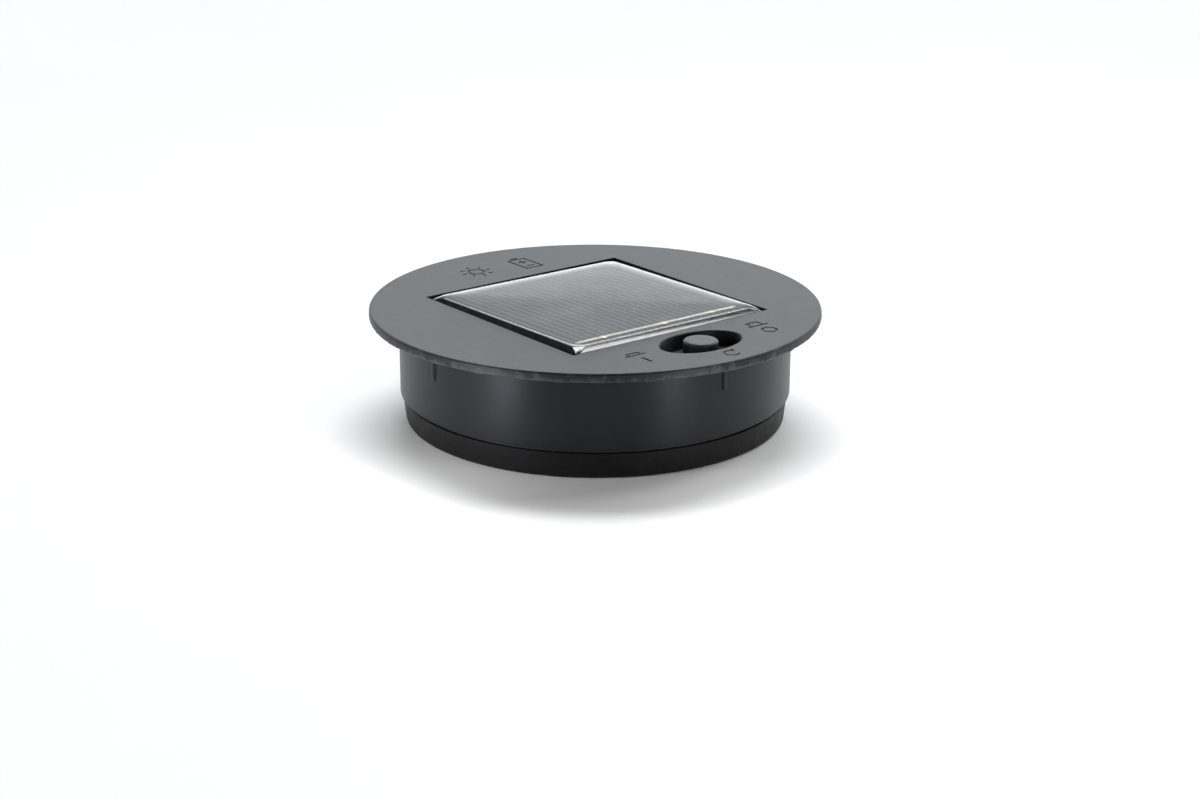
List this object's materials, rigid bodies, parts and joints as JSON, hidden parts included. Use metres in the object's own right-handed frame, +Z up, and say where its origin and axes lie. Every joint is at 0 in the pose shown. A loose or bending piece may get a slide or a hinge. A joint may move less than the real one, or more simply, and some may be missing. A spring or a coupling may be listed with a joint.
{
  "type": "solar lantern light insert",
  "caption": "Round flanged solar light insert for a lantern: domed panel and push button on the lid, light, battery door and screws on the base.",
  "frame": {"origin": "middle of the base, where the foot ring rests", "axes": "+Z up through the lid, -Y towards the push button, +X along the panel's ribbon"},
  "size_m": [0.08, 0.08, 0.0215],
  "materials": {
    "housing_plastic": "black ABS, fine spark-eroded grain on the lid, smooth skirt",
    "cover_plastic": "black ABS with a coarse texture",
    "button_plastic": "satin black ABS",
    "seal_silicone": "black silicone",
    "panel_tape_foam": "white foam tape",
    "panel_board": "black laminate",
    "silicon_cell": "dark silicon with fine metal fingers",
    "bus_ribbon_tin": "tinned ribbon",
    "epoxy_resin": "clear, slightly milky potting resin",
    "switch_plastic": "black",
    "plunger_plastic": "white",
    "spring_steel": "drawn wire",
    "contact_nickel": "nickel plated",
    "circuit_board": "green solder mask",
    "chip_plastic": "moulded black",
    "capacitor_can": "bare can",
    "led_epoxy": "clear lens over a yellow phosphor",
    "reflector_silver": "metallised plastic",
    "lens_clear": "clear, lightly frosted",
    "battery_wrap": "green plastic sleeve over a steel can",
    "screw_steel": "zinc plated, cross recess",
    "wire_red": "PVC insulation",
    "wire_black": "PVC insulation"
  },
  "bodies": {
    "housing": {"upper_housing": "housing_plastic", "bottom_cover": "cover_plastic", "seal_ring": "seal_silicone", "panel_tape": "panel_tape_foam", "solar_board": "panel_board", "solar_cell": "silicon_cell", "bus_ribbon": "bus_ribbon_tin", "epoxy_dome": "epoxy_resin", "switch_body": "switch_plastic", "switch_spring": "spring_steel", "contact_spring": "spring_steel", "contact_plate": "contact_nickel", "switch_pin_1": "contact_nickel", "switch_pin_2": "contact_nickel", "switch_pin_3": "contact_nickel", "switch_pin_4": "contact_nickel", "switch_pin_5": "contact_nickel", "switch_pin_6": "contact_nickel", "circuit_board": "circuit_board", "led_board": "circuit_board", "driver_chip": "chip_plastic", "inductor": "chip_plastic", "capacitor": "capacitor_can", "led_bulb": "led_epoxy", "reflector_cup": "reflector_silver", "led_lens": "lens_clear", "battery_cell": "battery_wrap", "cover_screw_1": "screw_steel", "cover_screw_2": "screw_steel", "cover_screw_3": "screw_steel", "board_screw_1": "screw_steel", "board_screw_2": "screw_steel", "panel_wire_red": "wire_red", "led_wire_red": "wire_red", "battery_wire_red": "wire_red", "panel_wire_black": "wire_black", "led_wire_black": "wire_black", "battery_wire_black": "wire_black"},
    "button": {"button_cap": "button_plastic", "switch_plunger": "plunger_plastic"},
    "battery_door": {"battery_door": "cover_plastic"}
  },
  "joints": [
    {"name": "button_press", "type": "slide", "parent": "housing", "child": "button", "axis": [0, 0, -1], "range_m": [0, 0.002], "stiffness_N_per_m": 300, "springref_m": -0.003, "deforming": ["switch_spring"]},
    {"name": "battery_door_hinge", "type": "hinge", "parent": "housing", "child": "battery_door", "pos_m": [0, 0.01835, 0.0017], "axis": [1, 0, 0], "range_deg": [0, 90]}
  ]
}
